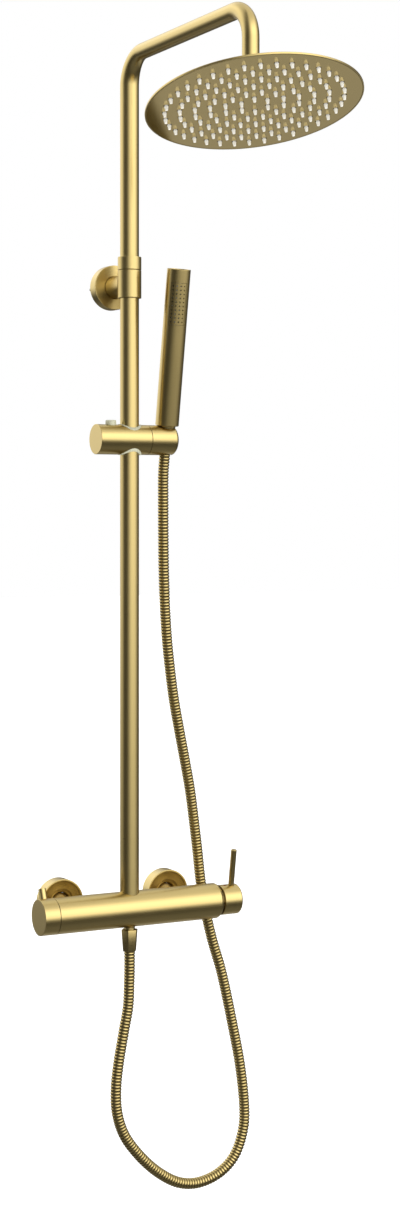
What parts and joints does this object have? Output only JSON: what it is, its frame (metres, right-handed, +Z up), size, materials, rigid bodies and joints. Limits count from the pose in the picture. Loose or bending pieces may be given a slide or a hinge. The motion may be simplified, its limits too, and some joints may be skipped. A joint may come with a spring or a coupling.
{
  "type": "rainfall shower column",
  "caption": "Wall-mounted thermostatic shower column: round bar mixer, riser with swivel arm and tilting rain head, sliding holder, stick handset and metal hose.",
  "frame": {"origin": "on the finished wall (the plane Y = 0), straight behind the point where the riser's axis meets the bar mixer's axis", "axes": "+Z up along the riser, +Y out of the back into the wall, -Y into the room, +X along the mixer towards the flow handle"},
  "size_m": [0.3097, 0.527, 1.4598],
  "materials": {
    "satin_brass": "satin, fine brushed grain",
    "raw_brass": "machined, unpolished",
    "steel": "machined",
    "pale_plastic": "translucent satin",
    "cartridge_plastic": "moulded",
    "black_rubber": "matte",
    "silicone": "soft matte",
    "copper_screw": "matte",
    "hose_metal": "satin, interlocked strip"
  },
  "bodies": {
    "wall_assembly": {"mixer_body": "satin_brass", "thermostatic_cartridge": "cartridge_plastic", "flow_cartridge": "cartridge_plastic", "cartridge_nut": "raw_brass", "thermostat_seal": "black_rubber", "flow_seal": "black_rubber", "eccentric_union_hot": "raw_brass", "eccentric_union_cold": "raw_brass", "rosette_hot": "satin_brass", "rosette_cold": "satin_brass", "inlet_nut_hot": "raw_brass", "inlet_nut_cold": "raw_brass", "inlet_washer_hot": "black_rubber", "inlet_washer_cold": "black_rubber", "check_valve_hot": "cartridge_plastic", "check_valve_cold": "cartridge_plastic", "hose_outlet": "satin_brass", "hose_nut_lower": "satin_brass", "hose_washer": "black_rubber", "riser_tube": "satin_brass", "bracket_base": "raw_brass", "bracket_screw_left": "steel", "bracket_screw_right": "steel", "bracket_flange": "satin_brass", "bracket_pin": "satin_brass", "bracket_collar": "satin_brass", "collar_nut": "satin_brass", "shower_hose": "hose_metal"},
    "temperature_control": {"temperature_knob": "satin_brass", "thermostat_spindle": "raw_brass", "stop_button_spring": "steel"},
    "stop_button": {"stop_button": "satin_brass"},
    "flow_control": {"flow_handle": "satin_brass", "flow_lever": "satin_brass", "handle_set_screw": "copper_screw", "flow_spindle": "raw_brass"},
    "swivel_arm": {"shower_arm": "satin_brass", "arm_spigot": "raw_brass", "spigot_seal": "black_rubber", "ball_stem": "satin_brass"},
    "ball_seat": {"ball_seat": "cartridge_plastic"},
    "ball_washer": {"ball_washer": "black_rubber"},
    "rain_head": {"swivel_nut": "satin_brass", "head_top_shell": "satin_brass", "face_plate": "satin_brass", "nozzle_mat": "silicone"},
    "slider_bush": {"slider_bush": "pale_plastic"},
    "slider": {"slider_body": "satin_brass", "holder_pivot": "steel", "lock_spring": "steel", "brake_spring": "steel"},
    "lock_button": {"lock_button": "pale_plastic"},
    "brake_plunger": {"brake_plunger": "cartridge_plastic"},
    "holder": {"holder": "satin_brass"},
    "hose_end": {"hose_ferrule": "raw_brass"},
    "handset": {"handset_body": "satin_brass", "spray_plate": "satin_brass", "handset_cap": "satin_brass", "handset_waterway": "cartridge_plastic", "hose_cone": "satin_brass"}
  },
  "joints": [
    {"name": "temperature_turn", "type": "hinge", "parent": "wall_assembly", "child": "temperature_control", "pos_m": [-0.1148, -0.057, 0], "axis": [1, 0, 0], "range_deg": [-150, 120]},
    {"name": "stop_press", "type": "slide", "parent": "temperature_control", "child": "stop_button", "axis": [0, -0.3746, -0.9272], "range_m": [0, 0.002], "stiffness_N_per_m": 900, "springref_m": -0.002, "deforming": ["stop_button_spring"]},
    {"name": "flow_turn", "type": "hinge", "parent": "wall_assembly", "child": "flow_control", "pos_m": [0.1417, -0.057, 0], "axis": [1, 0, 0], "range_deg": [-40, 80]},
    {"name": "arm_swivel", "type": "hinge", "parent": "wall_assembly", "child": "swivel_arm", "pos_m": [0, -0.057, 0.808], "axis": [0, 0, 1], "range_deg": [-60, 60]},
    {"name": "head_tilt", "type": "hinge", "parent": "swivel_arm", "child": "ball_seat", "pos_m": [0, -0.3695, 0.9968], "axis": [1, 0, 0], "range_deg": [0, 30]},
    {"name": "head_roll", "type": "hinge", "parent": "ball_seat", "child": "ball_washer", "pos_m": [0, -0.3695, 0.9968], "axis": [0, 0.9659, -0.2588], "range_deg": [-12, 12]},
    {"name": "head_spin", "type": "hinge", "parent": "ball_washer", "child": "rain_head", "pos_m": [0, -0.3695, 0.9968], "axis": [0, 0.2588, 0.9659], "continuous": true},
    {"name": "slider_travel", "type": "slide", "parent": "wall_assembly", "child": "slider_bush", "axis": [0, 0, 1], "range_m": [-0.15, 0.155], "deforming": ["shower_hose"]},
    {"name": "slider_swivel", "type": "hinge", "parent": "slider_bush", "child": "slider", "pos_m": [0, -0.057, 0.5938], "axis": [0, 0, 1], "range_deg": [-60, 30]},
    {"name": "lock_press", "type": "slide", "parent": "slider", "child": "lock_button", "axis": [0, 0, -1], "range_m": [0, 0.003], "stiffness_N_per_m": 700, "springref_m": -0.003, "deforming": ["lock_spring"]},
    {"name": "brake_release", "type": "slide", "parent": "slider", "child": "brake_plunger", "axis": [-1, 0, 0], "range_m": [0, 0.0012], "deforming": ["brake_spring"]},
    {"name": "holder_tilt", "type": "hinge", "parent": "slider", "child": "holder", "pos_m": [0.0515, -0.057, 0.5938], "axis": [1, 0, 0], "range_deg": [-15, 40]},
    {"name": "handset_lift", "type": "slide", "parent": "holder", "child": "hose_end", "axis": [0, -0.1685, 0.9857], "range_m": [0, 0.045]},
    {"name": "handset_twist", "type": "hinge", "parent": "hose_end", "child": "handset", "pos_m": [0.0515, -0.057, 0.5938], "axis": [0, -0.1685, 0.9857], "continuous": true}
  ],
  "couplings": [
    {"joint": "brake_release", "follows": "lock_press", "ratio": 0.4}
  ]
}
